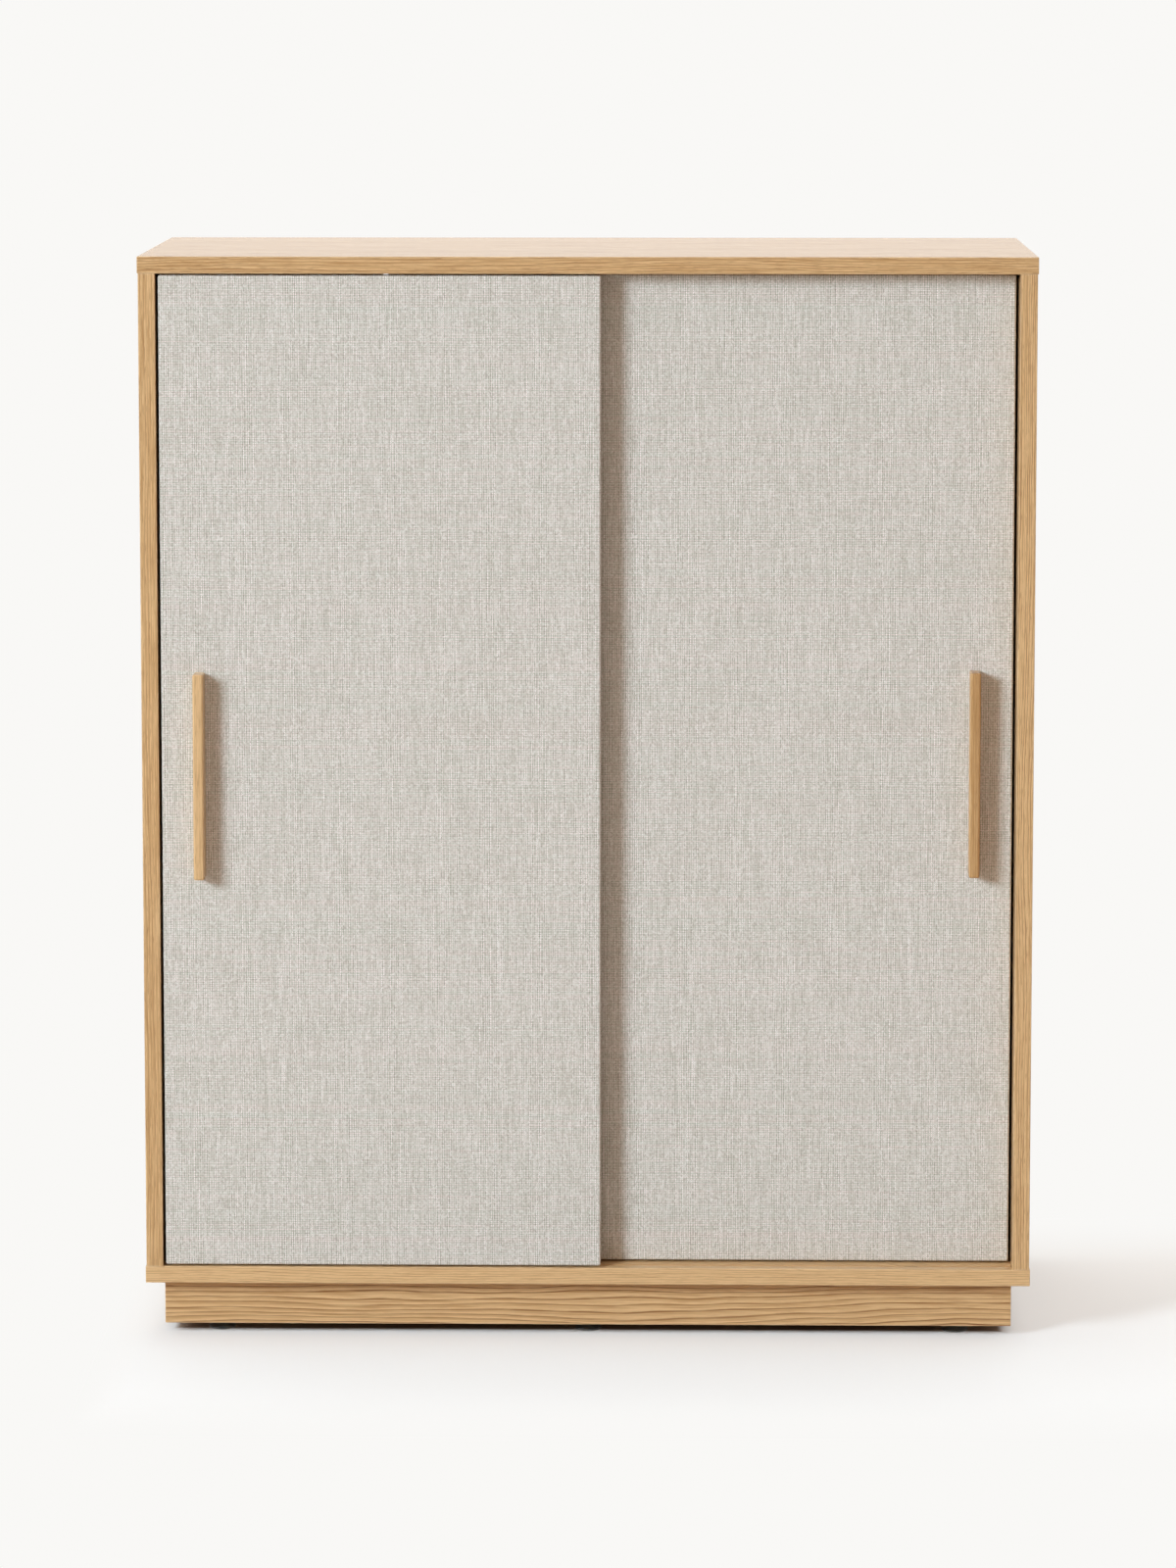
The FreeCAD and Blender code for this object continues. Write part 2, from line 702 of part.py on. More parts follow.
# Plinth
plinth_x = (-x_plinth, x_plinth)
save("plinth_front_rail", rounded(box(plinth_x, (y_plinth_front, plinth_inside[0]), plinth_z), edge_round, AXIS_Z))
save("plinth_back_rail", rounded(box(plinth_x, (plinth_inside[1], y_plinth_back), plinth_z), edge_round, AXIS_Z))
save("plinth_left_rail", box((-x_plinth, -x_plinth + board), plinth_inside, plinth_z))
save("plinth_right_rail", box((x_plinth - board, x_plinth), plinth_inside, plinth_z))
center_rail_y = (foot_rows["front"] + foot_block_reach, foot_rows["back"] - foot_block_reach)
save("plinth_center_rail", box(about(0, board), center_rail_y, plinth_z))
save("foot_blocks", *[foot_block(row, column) for row in foot_rows for column in foot_columns])
save("foot_insert_nuts", *[insert_nut(spot) for spot in feet.values()])
save("plinth_screws", *[screw(seat, AXIS_Z, plinth_screw_radius, plinth_screw_length, plinth_head_radius,
                              plinth_head_height)
                        for spot in feet.values() for seat in plinth_screw_seats(spot)])

# Levelling feet
for foot_name, spot in feet.items():
    save(f"{foot_name}_foot_pad", foot_pad(spot))
    save(f"{foot_name}_foot_spindle", foot_spindle(spot))

# Doors
for side in outward:
    save(f"{side}_door_core", core_block(side).cut(door_cuts(side)))
    save(f"{side}_door_fabric", door_fabric(side))
    save(f"{side}_door_handle", door_handle(side))
    save(f"{side}_door_handle_screws", *[screw(seat, -AXIS_Y, handle_screw_radius, handle_screw_length,
                                               handle_head_radius, handle_head_height)
                                         for seat in handle_screw_seats(side)])
    roller_places = inset_places(side, roller_inset)
    save(f"{side}_door_roller_housings", *[roller_housing(side, x) for x in roller_places.values()])
    for place, x in roller_places.items():
        save(f"{side}_door_{place}_roller", roller(side, x))
    save(f"{side}_door_top_guides", *[top_guide(side, x) for x in inset_places(side, guide_inset).values()])
    save(f"{side}_door_guide_screws", *[small_screw(seat, -AXIS_Y) for seat in guide_screw_seats(side)])
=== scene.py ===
import math

import bmesh
import bpy
from mathutils import Color, Matrix, Vector


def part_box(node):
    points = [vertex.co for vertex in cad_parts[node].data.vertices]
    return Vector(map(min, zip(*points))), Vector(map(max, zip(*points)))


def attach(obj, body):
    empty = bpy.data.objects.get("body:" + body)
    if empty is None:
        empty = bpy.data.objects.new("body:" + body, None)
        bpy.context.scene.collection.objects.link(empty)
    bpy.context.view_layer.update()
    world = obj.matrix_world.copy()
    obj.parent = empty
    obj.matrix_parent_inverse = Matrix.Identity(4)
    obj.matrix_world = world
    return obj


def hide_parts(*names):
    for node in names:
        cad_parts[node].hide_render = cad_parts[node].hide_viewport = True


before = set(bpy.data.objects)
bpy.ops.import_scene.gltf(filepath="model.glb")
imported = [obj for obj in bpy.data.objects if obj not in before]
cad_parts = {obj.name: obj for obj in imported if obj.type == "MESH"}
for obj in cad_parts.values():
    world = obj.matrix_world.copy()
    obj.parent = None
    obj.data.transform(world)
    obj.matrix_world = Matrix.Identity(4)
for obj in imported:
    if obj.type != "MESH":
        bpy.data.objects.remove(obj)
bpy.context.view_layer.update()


# Levelling feet: six round pads of charcoal plastic, moulded with a fine eroded grain.
# They are pressed on steel spindles, and the floor has scuffed their rims.

class Tone:
    """A value, colour or vector in a finish; sums, products and comparisons add Math nodes."""

    def __init__(self, tree, socket=None):
        self.tree = tree
        self.socket = socket

    def wire(self, node, sockets):
        """Links or sets the sockets of a node."""
        for name, value in sockets.items():
            if isinstance(value, Tone):
                self.tree.links.new(value.socket, node.inputs[name])
            else:
                node.inputs[name].default_value = value

    def node(self, kind, settings=None, sockets=None, out=0):
        """Adds a node of this kind: its settings first, then the values or links of its sockets."""
        made = self.tree.nodes.new("ShaderNode" + kind)
        for name, value in (settings or {}).items():
            setattr(made, name, value)
        self.wire(made, sockets or {})
        return Tone(self.tree, made.outputs[out])

    def math(self, operation, *values):
        """Adds a Math node for an operation that has no sign of its own."""
        return self.node("Math", {"operation": operation}, dict(enumerate(values)))

    def __add__(self, other):
        return self.math("ADD", self, other)

    def __radd__(self, other):
        return self.math("ADD", other, self)

    def __sub__(self, other):
        return self.math("SUBTRACT", self, other)

    def __rsub__(self, other):
        return self.math("SUBTRACT", other, self)

    def __mul__(self, other):
        return self.math("MULTIPLY", self, other)

    def __rmul__(self, other):
        return self.math("MULTIPLY", other, self)

    def __truediv__(self, other):
        return self.math("DIVIDE", self, other)

    def __rtruediv__(self, other):
        return self.math("DIVIDE", other, self)

    def __mod__(self, other):
        return self.math("FLOORED_MODULO", self, other)

    def __rmod__(self, other):
        return self.math("FLOORED_MODULO", other, self)

    def __gt__(self, other):
        return self.math("GREATER_THAN", self, other)

    def __lt__(self, other):
        return self.math("LESS_THAN", self, other)

    def __abs__(self):
        return self.math("ABSOLUTE", self)

    def __floor__(self):
        return self.math("FLOOR", self)


def paint(red, green, blue):
    """A colour as it looks on a screen, from 0 to 255, for a shader's socket."""
    return (*Color((red / 255, green / 255, blue / 255)).from_srgb_to_scene_linear(), 1.0)


def finish(name):
    """A new finish, and the object coordinates that its patterns are drawn on."""
    material = bpy.data.materials.new(name)
    material.use_nodes = True
    return material, Tone(material.node_tree).node("TexCoord", out="Object")


def surface(material, looks):
    """Sets or links the sockets of a finish's surface shader."""
    Tone(material.node_tree).wire(material.node_tree.nodes["Principled BSDF"], looks)


def dress(material, *nodes):
    """Gives a finish to solids of the frame."""
    for node in nodes:
        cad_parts[node].data.materials[0] = material


def ramp(value, low, high):
    """A soft step from 0 at low to 1 at high, which may be the smaller of the two."""
    return value.node("MapRange", {"interpolation_type": "SMOOTHSTEP"},
                      {"Value": value, "From Min": low, "From Max": high})


def mixed(share, under, over):
    """A colour between two, by the share of the second."""
    return share.node("Mix", {"data_type": "RGBA"}, {0: share, 6: under, 7: over}, out=2)


def mottle(at, size, detail=2.0, seed=0.0):
    """Cloudy noise in patches of about this size, the same in every direction."""
    moved = at.node("Mapping", {}, {"Vector": at, "Location": (seed, 2 * seed, 3 * seed)})
    return at.node("TexNoise", {}, {"Vector": moved, "Scale": 1 / size, "Detail": detail})


def parts(at):
    """The three numbers of a vector."""
    return [at.node("SeparateXYZ", {}, {0: at}, out=axis) for axis in range(3)]


def relief(height, depth, strength=1.0):
    """A normal that shows a height from 0 to 1 as deep as this, in metres."""
    return height.node("Bump", {}, {"Strength": strength, "Distance": depth, "Height": height})


rows = ("front", "back")
columns = ("left", "middle", "right")
feet = [f"{row}_{column}_foot" for row in rows for column in columns]
charcoal_dark = paint(92, 97, 98)
charcoal_pale = paint(108, 112, 112)
scuff_grey = paint(140, 140, 136)
scuff_heights = (0.0005, 0.0035)

charcoal, at = finish("charcoal plastic")
height = parts(at)[2]
grain = mottle(at, size=0.0006, detail=1.0)
cloud = mottle(at, size=0.012, detail=3.0, seed=4.1)
scuffed = (1 - ramp(height, *scuff_heights)) * ramp(cloud, 0.42, 0.62)
moulded = mixed(cloud, charcoal_dark, charcoal_pale)
surface(charcoal, {
    "Base Color": mixed(scuffed * 0.5, moulded, scuff_grey),
    "Roughness": 0.34 + 0.16 * cloud + 0.2 * scuffed,
    "Normal": relief(grain + 0.6 * scuffed * cloud, depth=0.00006),
})
dress(charcoal, *[f"{foot}_pad" for foot in feet])


# Foot spindles: zinc-plated steel with an M8 thread, which screws into a nut in the plinth.
# A hexagon for the spanner stands on the pad, and above it the thread is drawn as a helix.

thread_pitch = 0.00125
thread_depth = 0.0007
thread_start = 0.0125
thread_runout = 0.0004
thread_dull = paint(150, 156, 160)
thread_bright = paint(198, 200, 198)

for foot in feet:
    low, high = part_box(f"{foot}_spindle")
    axis = (low + high) / 2
    zinc_thread, at = finish(f"threaded zinc {foot}")
    x, y, z = parts(at)
    turn = x.math("ARCTAN2", y - axis.y, x - axis.x) / math.tau
    ridge = abs((z / thread_pitch - turn) % 1.0 - 0.5) * 2
    shank = ramp(z, thread_start, thread_start + thread_runout)
    crystals = mottle(at, size=0.0011, detail=3.0)
    surface(zinc_thread, {
        "Base Color": mixed(crystals, thread_dull, thread_bright),
        "Metallic": 1.0,
        "Roughness": 0.26 + 0.2 * crystals + 0.12 * shank * (1 - ridge),
        "Normal": relief(shank * ridge + 0.04 * crystals, depth=thread_depth),
    })
    dress(zinc_thread, f"{foot}_spindle")


# Plinth: five rails of oak-veneered board under the cabinet, set back on all sides.
# The veneer is plain-sliced, so the growth rings run along each rail as dark wavy lines.

def streaks(along, across, length, width, seed, detail=2.0):
    """Noise drawn out along the grain, in patches about this long and this wide."""
    at = along.node("CombineXYZ", {}, {0: along / length, 1: across / width, 2: seed})
    return along.node("TexNoise", {}, {"Vector": at, "Scale": 1.0, "Detail": detail, "Roughness": 0.55})


def chance(value, seed=0.0):
    """A number from 0 to 1 that is picked anew for each whole value."""
    return value.node("TexWhiteNoise", {"noise_dimensions": "1D"}, {"W": value + seed})


def oak_figure(along, across, seed, ring_gap, sway, wave=0.04, gaps=0.7, late_from=0.5):
    """Early wood, late wood, fibres and pores of sliced oak, each from 0 to 1.

    The rings lie ring_gap apart across the grain. They drift within sway and ripple over each
    wave, all in metres. The late wood of a year starts at the share late_from, broken by gaps.
    """
    slow = streaks(along, across, length=0.5, width=0.06, seed=seed, detail=1.0) - 0.5
    quick = streaks(along, across, length=wave, width=wave / 4, seed=seed + 7.3, detail=1.0) - 0.5
    ring = (across + sway * slow + wave / 16 * quick) / ring_gap
    uneven = ring + 1.3 * streaks(ring, along, length=2.2, width=1.5, seed=seed + 3.9, detail=1.0)
    year = uneven % 1.0
    strength = 0.4 + 0.6 * chance(math.floor(uneven), seed)
    broken = ramp(streaks(along, across, length=0.04, width=0.0016, seed=seed + 2.8), 0.36, 0.56)
    early = 1 - ramp(year, 0.1, 0.6)
    band = ramp(year, late_from, 0.84) * (1 - ramp(year, 0.92, 1.0))
    late = band * strength * (1 - gaps + gaps * broken)
    fibre = ramp(streaks(along, across, length=0.06, width=0.0011, seed=seed + 1.7, detail=3.0), 0.3, 0.7)
    dash = streaks(along, across, length=0.014, width=0.0005, seed=seed + 5.1, detail=1.0)
    pores = ramp(dash, 0.54, 0.64) * (1 - ramp(year, 0.15, 0.75))
    return early, late, fibre, pores


def edge_distance(place, low, high):
    """How far a point on a board is from the nearest arris: the second smallest of its three depths."""
    middle = (low + high) / 2
    half = (high - low) / 2
    x, y, z = [half[axis] - abs(place[axis] - middle[axis]) for axis in range(3)]
    inner = x.math("MAXIMUM", x, y)
    return x.math("MAXIMUM", x.math("MINIMUM", x, y), x.math("MINIMUM", inner, z))


oak_pale = paint(226, 189, 140)
oak_mid = paint(184, 141, 91)
oak_late = paint(134, 86, 46)
oak_pore = paint(124, 84, 50)
oak_rubbed_and_highlit = paint(236, 212, 176)
leaf_width = 0.168
leaf_shift = 1.9
wear_and_highlight_width = 0.0016
wear_and_highlight_wander = 0.003
square_on = 0.7


def oak_board(node, run, seed, ring_gap=0.0034, lines=0.5, sway=0.04, tone=0.0, open_pores=0.45,
              wave=0.04, gaps=0.7, late_from=0.5):
    """Lacquered oak on one board: grain along the axis run, and along the edge band on its ends.

    The faces are laid with leaves of veneer side by side. The values lines and open_pores say how
    strongly the late wood and the pores show, and a higher tone is a darker board.
    """
    low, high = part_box(node)
    size = high - low
    thin = min(range(3), key=lambda axis: size[axis])
    across, rise = [axis for axis in range(3) if axis != run]
    oak, at = finish(f"oak {node}")
    place = parts(at)
    facing = [abs(part) for part in parts(at.node("TexCoord", out="Normal"))]
    ends = facing[run] > square_on
    flat = facing[thin] > square_on
    length = place[run] + ends * (place[across] - place[run])
    breadth = place[across] + place[rise] + ends * (place[run] - place[across])
    leaf = math.floor(breadth / leaf_width) * flat
    leaf_tone = chance(leaf, seed)
    length = length + leaf_shift * leaf_tone
    early, late, fibre, pores = oak_figure(length, breadth, seed, ring_gap, sway, wave, gaps, late_from)
    cloud = streaks(length, breadth, length=0.5, width=0.07, seed=seed + 11.0)
    # The arrises are paler: partly rubbed wear, partly a painted highlight where a rounded edge would
    # catch the light.
    wander = wear_and_highlight_wander * (mottle(at, size=0.02) - 0.5)
    worn_and_highlit = 1 - ramp(edge_distance(place, low, high) + wander, 0.0, wear_and_highlight_width)
    depth = ramp(0.58 * fibre + 0.32 * cloud + 0.14 * leaf_tone - 0.4 * lines * early + tone, 0.0, 0.95)
    slant = ramp(at.node("LayerWeight", {}, {"Blend": 0.5}, out="Facing"), 0.6, 0.95)
    colour = mixed(depth, oak_pale, oak_mid)
    colour = mixed(late * lines, colour, oak_late)
    colour = mixed(pores * open_pores, colour, oak_pore)
    colour = mixed(worn_and_highlit * 0.22, colour, oak_rubbed_and_highlit)
    surface(oak, {
        "Base Color": colour,
        "Roughness": 0.4 + 0.1 * fibre + 0.18 * pores - 0.06 * worn_and_highlit,
        "Specular IOR Level": 0.25,
        "Coat Weight": 0.15 + 0.5 * slant,
        "Coat Roughness": 0.14,
        "Normal": relief(0.5 * fibre - pores - 0.25 * late, depth=0.00012),
    })
    dress(oak, node)


along_x, along_y, along_z = range(3)
for rail, seed, lines, tone in (("front", 2.6, 1.15, -0.08), ("back", 9.1, 1.1, 0.0)):
    oak_board(f"plinth_{rail}_rail", along_x, seed, ring_gap=0.0058, lines=lines, sway=0.03, tone=tone,
              open_pores=0.15, wave=0.09, gaps=0.55, late_from=0.68)
for rail, seed in (("left", 4.4), ("right", 6.2), ("center", 8.3)):
    oak_board(f"plinth_{rail}_rail", along_y, seed, ring_gap=0.005, lines=0.7)


# Foot blocks: six squares of raw planed softwood, screwed in the plinth under the bottom board.
# They hold the nuts of the feet, and their wide growth rings are bare of any lacquer.

softwood_pale = paint(226, 196, 148)
softwood_mid = paint(206, 170, 120)
softwood_late = paint(176, 126, 76)

softwood, at = finish("raw softwood")
x, y, z = parts(at)
late, fibre = oak_figure(x, y + 0.7 * z, seed=3.3, ring_gap=0.0042, sway=0.03)[1:3]
surface(softwood, {
    "Base Color": mixed(late * 0.6, mixed(fibre, softwood_pale, softwood_mid), softwood_late),
    "Roughness": 0.66 + 0.2 * fibre,
    "Normal": relief(fibre - late, depth=0.00015),
})
dress(softwood, "foot_blocks")


# Fittings: cam locks and bolts, screws, nuts, shelf supports and wall brackets of plated steel.
# Bright zinc shows fine crystals, faint clouds of passivation and drawing marks.

zinc_grey = paint(168, 173, 178)
zinc_white = paint(206, 207, 206)
zinc_yellow = paint(200, 192, 170)

zinc, at = finish("bright zinc")
x, y, z = parts(at)
crystals = mottle(at, size=0.0012, detail=3.0)
cloud = mottle(at, size=0.009, seed=1.3)
drawn = streaks(z, x + y, length=0.01, width=0.0003, seed=0.4)
plated = mixed(crystals, zinc_grey, zinc_white)
surface(zinc, {
    "Base Color": mixed(ramp(cloud, 0.5, 0.72) * 0.5, plated, zinc_yellow),
    "Metallic": 1.0,
    "Roughness": 0.24 + 0.16 * crystals + 0.12 * drawn,
    "Normal": relief(0.5 * crystals + 0.5 * drawn, depth=0.00004),
})
dress(zinc, "cam_locks", "cam_bolts", "back_and_bracket_screws", "plinth_screws", "foot_insert_nuts",
      "shelf_supports", "wall_brackets")


# Dowels: round beech pins with chamfered ends, glued in the boards to line their joints up.
# Beech is even and pinkish, with short darker flecks along the grain.

beech_pale = paint(222, 184, 144)
beech_mid = paint(206, 164, 122)
beech_fleck = paint(160, 110, 72)

beech, at = finish("raw beech")
x, y, z = parts(at)
flecks = ramp(streaks(z, x + y, length=0.004, width=0.0006, seed=2.2, detail=1.0), 0.55, 0.65)
fibre = streaks(z, x + y, length=0.03, width=0.0005, seed=4.7)
surface(beech, {
    "Base Color": mixed(flecks * 0.6, mixed(fibre, beech_pale, beech_mid), beech_fleck),
    "Roughness": 0.6 + 0.15 * fibre,
    "Normal": relief(fibre - 0.4 * flecks, depth=0.0001),
})
dress(beech, "dowels")


# Carcass: bottom, two sides, partition and top of oak-veneered board, held by cams and dowels.
# The grain runs along the top and bottom boards and up the sides, on their edge bands too.

oak_board("bottom_panel", along_x, seed=1.2, ring_gap=0.0031, lines=0.6, sway=0.03, tone=-0.42,
          open_pores=0.25)
oak_board("left_side_panel", along_z, seed=3.7, ring_gap=0.0038, lines=0.5, sway=0.03, tone=-0.02)
oak_board("right_side_panel", along_z, seed=5.9, ring_gap=0.0031, lines=0.75, sway=0.025, tone=-0.12)
oak_board("center_partition", along_z, seed=7.7)
oak_board("top_panel", along_x, seed=8.8, ring_gap=0.0032, lines=0.65, sway=0.035, tone=0.04)


# Back panel: thin hardboard let into grooves round the carcass and screwed to the partition.
# Its inner face has an oak foil. Its outer face is bare brown fibre, which keeps the mark of
# the press's wire mesh.

press_mesh = 0.0016
hardboard_brown = paint(146, 104, 66)
hardboard_dark = paint(120, 82, 50)
hardboard_clump = paint(88, 58, 34)

hardboard, at = finish("foiled hardboard")
x, y, z = parts(at)
outer = parts(at.node("TexCoord", out="Normal"))[1] > 0.3
late, fibre = oak_figure(z, x, seed=12.4, ring_gap=0.008, sway=0.05)[1:3]
foil = mixed(late * 0.3, mixed(fibre, oak_pale, oak_mid), oak_late)
fluff = mottle(at, size=0.004, detail=4.0)
clumps = ramp(mottle(at, size=0.0016, seed=2.7), 0.56, 0.7)
raw = mixed(clumps * 0.5, mixed(fluff, hardboard_brown, hardboard_dark), hardboard_clump)
wires = abs(x / press_mesh % 1.0 - 0.5) + abs(z / press_mesh % 1.0 - 0.5)
surface(hardboard, {
    "Base Color": mixed(outer, foil, raw),
    "Roughness": 0.48 + outer * (0.2 + 0.15 * fluff) + 0.1 * (1 - outer) * fibre,
    "Normal": relief(outer * (0.7 * wires + 0.6 * fluff) + (1 - outer) * 0.25 * fibre, depth=0.00022),
})
dress(hardboard, "back_panel")


# Shelves: four oak-veneered boards that lie loose on metal supports, two in each half.
# Their grain runs across the cabinet, as it does on the top.

shelf_seeds = {"left_lower": 13.1, "left_upper": 14.6, "right_lower": 15.8, "right_upper": 16.9}

for shelf, seed in shelf_seeds.items():
    oak_board(f"{shelf}_shelf", along_x, seed)


# Bottom tracks: U-section aluminium let flush into grooves of the bottom board, one per door.
# They are anodised champagne to go with the oak, and the rollers have polished the channel floor.

track_base = 0.0015
polish_heights = (0.0002, 0.0015)
champagne_pale = paint(228, 192, 143)
champagne_dark = paint(208, 168, 118)
champagne_polished = paint(220, 204, 178)

champagne, at = finish("champagne anodised aluminium")
x, y, z = parts(at)
channel_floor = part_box("front_bottom_track")[0].z + track_base
drawn = streaks(x, y + z, length=0.06, width=0.00025, seed=6.6, detail=3.0)
rolled = 1 - ramp(z, *[channel_floor + height for height in polish_heights])
anodised = mixed(drawn, champagne_pale, champagne_dark)
surface(champagne, {
    "Base Color": mixed(rolled * 0.5, anodised, champagne_polished),
    "Metallic": 0.25,
    "Roughness": 0.5 - 0.12 * rolled + 0.16 * drawn,
    "Normal": relief(drawn, depth=0.00003),
})
dress(champagne, "front_bottom_track", "rear_bottom_track")


# Top channels: brown plastic profiles pressed into grooves under the top board.
# They are extruded, so fine die lines run along them.

brown_pale = paint(112, 84, 56)
brown_dark = paint(94, 69, 45)

brown_plastic, at = finish("extruded brown plastic")
x, y, z = parts(at)
drawn = streaks(x, y + z, length=0.2, width=0.0004, seed=8.2)
surface(brown_plastic, {
    "Base Color": mixed(drawn, brown_pale, brown_dark),
    "Roughness": 0.42 + 0.18 * drawn,
    "Normal": relief(drawn, depth=0.00004),
})
dress(brown_plastic, "front_top_channel", "rear_top_channel")


# Track stops: small blocks of soft black rubber, pushed into the bottom tracks.
# They end each door's travel without a knock, and bloom a little grey with age.

rubber_black = paint(24, 24, 25)
rubber_bloom = paint(46, 45, 44)

rubber, at = finish("black rubber")
bloom = mottle(at, size=0.003, detail=3.0)
surface(rubber, {
    "Base Color": mixed(bloom, rubber_black, rubber_bloom),
    "Roughness": 0.7 + 0.2 * bloom,
    "Normal": relief(mottle(at, size=0.0004, detail=1.0), depth=0.00005),
})
dress(rubber, "track_stops")


# Door cores: slabs of raw fibreboard that carry the cloth, handles, rollers and guides.
# Only their backs show, as an even buff felt of fibre with a few darker shives.

fibre_buff = paint(186, 154, 116)
fibre_brown = paint(160, 128, 92)
fibre_shive = paint(112, 82, 54)

fibreboard, at = finish("raw fibreboard")
x, y, z = parts(at)
felt = mottle(at, size=0.0022, detail=4.0)
shives = ramp(streaks(z, x, length=0.004, width=0.0012, seed=2.9), 0.6, 0.68)
cloud = mottle(at, size=0.16, seed=0.7)
buff = mixed(0.6 * felt + 0.4 * cloud, fibre_buff, fibre_brown)
surface(fibreboard, {
    "Base Color": mixed(shives * 0.4, buff, fibre_shive),
    "Roughness": 0.72 + 0.15 * felt,
    "Normal": relief(felt, depth=0.0001),
})
dress(fibreboard, "left_door_core", "right_door_core")


# Roller housings and top guides: dark grey nylon, moulded with an eroded grain.
# The housings sit in pockets in the door's back. The guides are held at its top by zinc screws,
# and like screws hold the handles.

sides = ("left", "right")
nylon_dark = paint(78, 78, 78)
nylon_pale = paint(98, 97, 95)

nylon, at = finish("dark grey nylon")
grain = mottle(at, size=0.0005, detail=1.0)
cloud = mottle(at, size=0.015, seed=3.4)
surface(nylon, {
    "Base Color": mixed(cloud, nylon_dark, nylon_pale),
    "Roughness": 0.44 + 0.2 * cloud,
    "Normal": relief(grain, depth=0.00005),
})
for side in sides:
    dress(nylon, f"{side}_door_roller_housings", f"{side}_door_top_guides")
    dress(zinc, f"{side}_door_guide_screws", f"{side}_door_handle_screws")


# Rollers: off-white moulded wheels on stub axles, two to a door.
# Their treads are dulled by the track, in fine rings round the axle.

tread_depths = (0.0007, 0.0001)
wheel_white = paint(226, 224, 216)
wheel_grey = paint(214, 211, 202)
wheel_dull = paint(170, 164, 152)

for side in sides:
    for place in ("outer", "inner"):
        wheel = f"{side}_door_{place}_roller"
        low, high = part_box(wheel)
        axis = (low + high) / 2
        rim = (high.x - low.x) / 2
        wheel_nylon, at = finish(f"roller nylon {side} {place}")
        x, y, z = parts(at)
        run = x - axis.x
        rise = z - axis.z
        radius = x.math("SQRT", run * run + rise * rise)
        rings = streaks(y, radius, length=0.002, width=0.0004, seed=1.1)
        tread = ramp(radius, *[rim - depth for depth in tread_depths])
        moulded = mixed(rings, wheel_white, wheel_grey)
        surface(wheel_nylon, {
            "Base Color": mixed(tread * (0.4 + 0.4 * rings), moulded, wheel_dull),
            "Roughness": 0.32 + 0.25 * tread + 0.12 * rings,
            "Normal": relief(rings, depth=0.00005),
        })
        dress(wheel_nylon, wheel)


# Handles: upright bars of solid lacquered oak, screwed on from the back of each door.
# Their grain runs upwards, and the corners are a little paler: hands have rubbed them, and a painted
# highlight runs along each arris.

for side, seed, tone in (("left", 21.3, -0.3), ("right", 24.9, 0.24)):
    oak_board(f"{side}_door_handle", along_z, seed, ring_gap=0.0026, lines=0.4, sway=0.012, tone=tone)


# Door cloth: a slub linen weave drawn round each core and stapled down behind as a border.
# It is cut with room for the edges and folds, and slit out where the rollers come through.

cloth_thickness = 0.0008
cloth_fold = 0.030
cloth_round = 0.002
round_face_area = 0.0002
housing_length = 0.046
slit_play = 0.0002
slit_spare = 0.001
warp_pitch = 0.00128
weft_pitch = 0.00132
warp_wander = 1.6
weft_wander = 2.0
warp_white = paint(255, 249, 247)
warp_grey = paint(170, 174, 157)
warp_shade = paint(190, 182, 170)
warp_slub_white = paint(255, 255, 253)
weft_rose = paint(226, 210, 205)
weft_grey = paint(208, 211, 201)
weft_shade = paint(196, 191, 182)
weft_slub_white = paint(246, 245, 241)
nub_white = paint(255, 255, 254)
nub_brown = paint(150, 138, 128)
painted_hollow_shade = paint(172, 166, 157)


def placed(name, shape):
    """A new object of this name, from a shape that is finished."""
    mesh = bpy.data.meshes.new(name)
    shape.to_mesh(mesh)
    shape.free()
    piece = bpy.data.objects.new(name, mesh)
    bpy.context.scene.collection.objects.link(piece)
    return piece


def cut_place(point, face, low, high):
    """Where a point of the wrapped cloth lies on its flat cut, from the middle of the door, in metres."""
    middle = (low + high) / 2
    half = (high - low) / 2
    x = point.x - middle.x
    z = point.z - middle.z
    depth = point.y - low.y
    facing = face.normal
    heart = face.calc_center_median() - middle
    if facing.y < -square_on:
        return x, z
    if facing.y > square_on:
        beside = half.x - abs(heart.x) < half.z - abs(heart.z)
        if beside:
            return math.copysign(half.x + depth + half.x - abs(x), heart.x), z
        return x, math.copysign(half.z + depth + half.z - abs(z), heart.z)
    if abs(facing.x) > abs(facing.z):
        return math.copysign(half.x + depth, heart.x), z
    return x, math.copysign(half.z + depth, heart.z)


